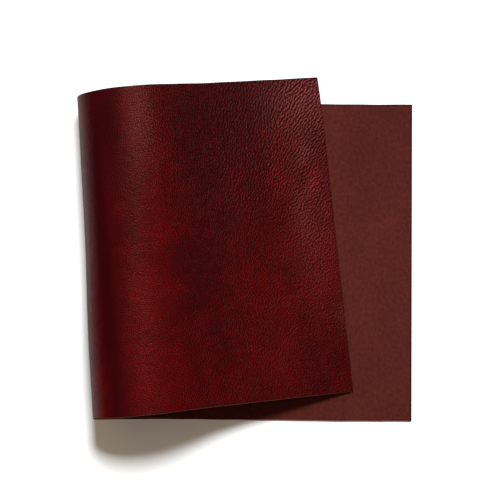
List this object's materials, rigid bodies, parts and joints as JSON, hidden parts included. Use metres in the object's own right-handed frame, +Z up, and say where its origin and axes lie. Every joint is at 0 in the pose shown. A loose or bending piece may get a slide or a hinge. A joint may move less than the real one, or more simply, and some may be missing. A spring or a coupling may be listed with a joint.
{
  "type": "leather panel",
  "caption": "Rectangle of leather turned back over itself in a loose loop, its flap resting on the layer below.",
  "frame": {"origin": "under the middle of the folded panel's box, at the height of the surface it lies on", "axes": "+X along the panel's length, from the loop towards the bottom layer's end; +Y across the panel, towards the side where the flap stands out past the bottom layer; +Z up"},
  "size_m": [0.3196, 0.3312, 0.0844],
  "materials": {
    "leather": "satin, pebbled grain on one side and matt flesh on the other"
  },
  "bodies": {
    "root": {"leather_panel": "leather"}
  },
  "joints": []
}
